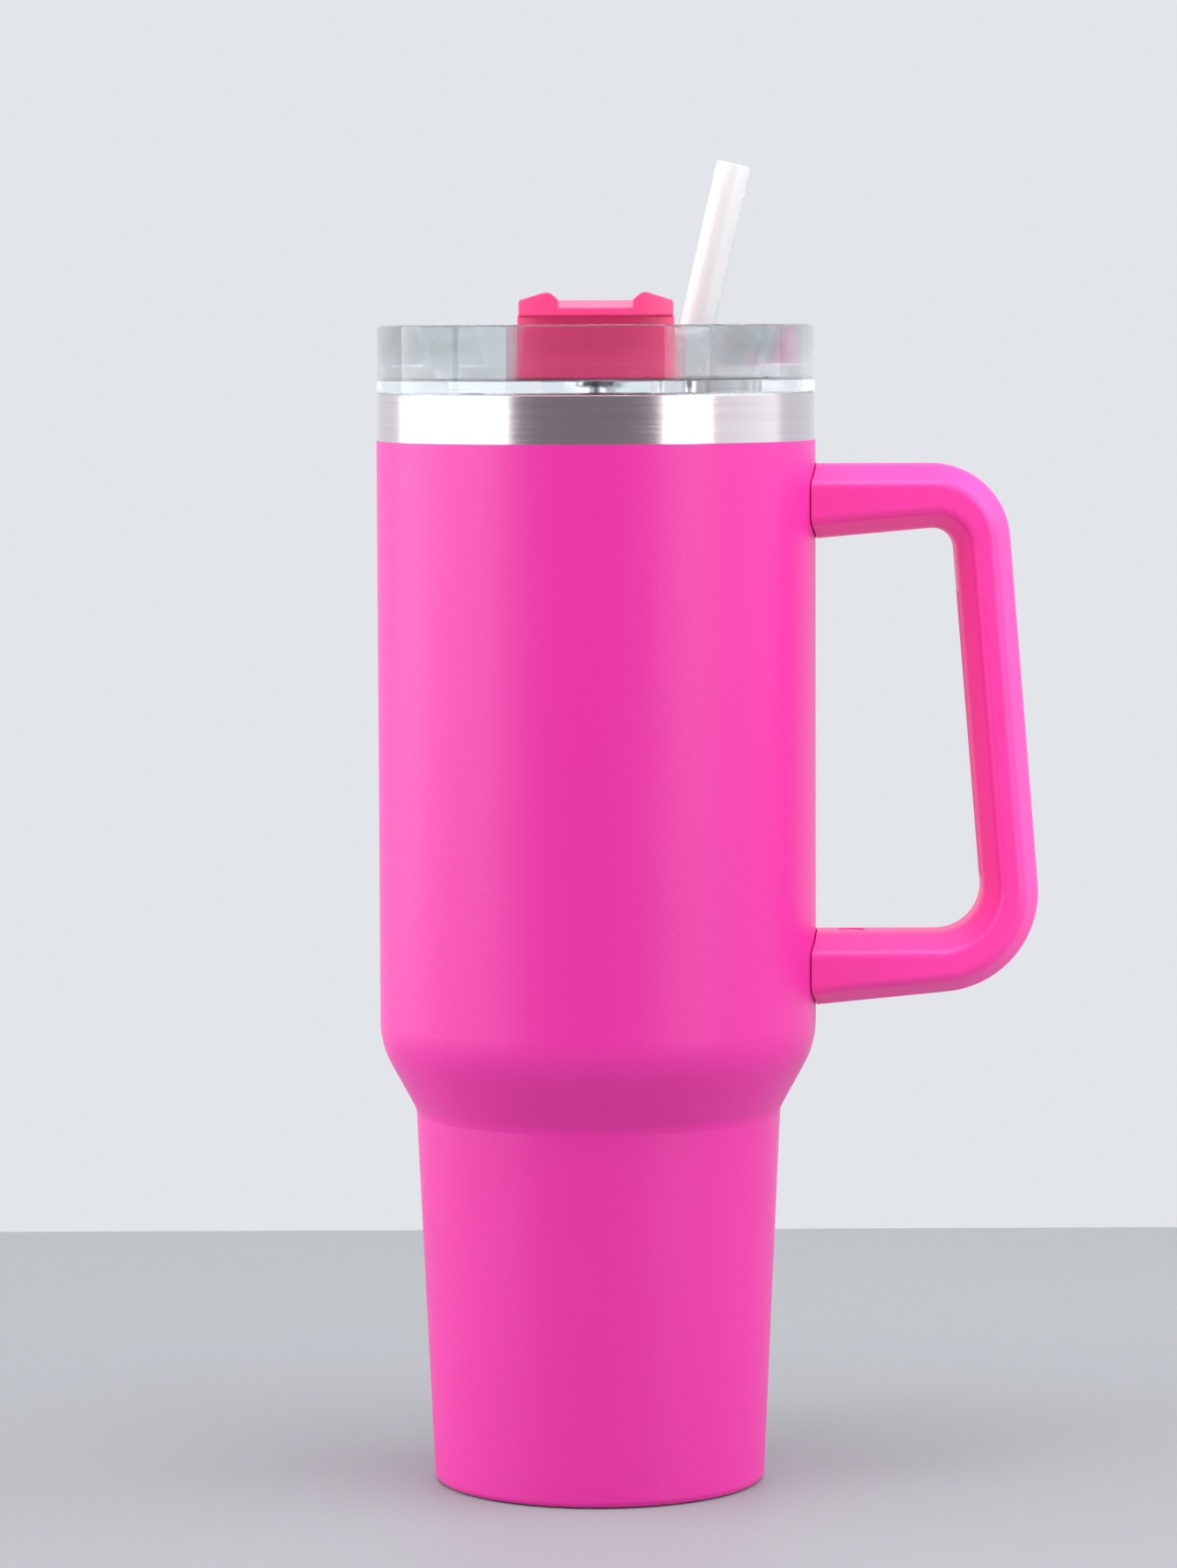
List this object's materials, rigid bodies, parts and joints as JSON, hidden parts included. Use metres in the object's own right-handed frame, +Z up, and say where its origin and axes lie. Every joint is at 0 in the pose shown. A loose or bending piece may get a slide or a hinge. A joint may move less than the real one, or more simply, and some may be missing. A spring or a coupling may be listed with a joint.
{
  "type": "insulated tumbler with lid",
  "caption": "Double-walled steel tumbler with side handle, tapered foot, clear push-in lid with turning drink cover, and a slanted clear straw.",
  "frame": {"origin": "centre of the foot, on the surface the tumbler stands on", "axes": "+Z up along the body's axis, +X towards the handle, -Y the drinking side"},
  "size_m": [0.1477, 0.098, 0.2964],
  "materials": {
    "pink_powder_coat": "satin powder coat",
    "brushed_steel": "brushed around the axis",
    "handle_plastic": "satin",
    "grip_rubber": "matt",
    "clear_plastic": "clear",
    "cover_plastic": "satin gloss",
    "clear_silicone": "translucent",
    "getter_alloy": "sintered"
  },
  "bodies": {
    "vessel": {"outer_shell": "brushed_steel", "inner_liner": "brushed_steel", "powder_coat": "pink_powder_coat", "shell_bottom": "brushed_steel", "vacuum_seal": "brushed_steel", "getter": "getter_alloy", "base_disc": "brushed_steel", "upper_bracket": "brushed_steel", "lower_bracket": "brushed_steel", "handle_frame": "handle_plastic", "grip_insert": "grip_rubber", "handle_screws": "brushed_steel", "screw_plugs": "handle_plastic"},
    "lid": {"lid_body": "clear_plastic", "lid_seal": "clear_silicone", "straw_grommet": "clear_silicone"},
    "cover": {"rotating_cover": "cover_plastic", "drink_pad": "clear_silicone", "pivot_pin": "brushed_steel", "pivot_clip": "brushed_steel", "pivot_oring": "clear_silicone"},
    "straw": {"straw": "clear_plastic"}
  },
  "joints": [
    {"name": "lid_lift", "type": "slide", "parent": "vessel", "child": "lid", "axis": [0, 0, 1], "range_m": [0, 0.225]},
    {"name": "cover_turn", "type": "hinge", "parent": "lid", "child": "cover", "pos_m": [0, 0, 0.248], "axis": [0, 0, 1], "range_deg": [-90, 0]},
    {"name": "straw_pull", "type": "slide", "parent": "lid", "child": "straw", "axis": [0.2284, 0, 0.9736], "range_m": [0, 0.25]}
  ]
}
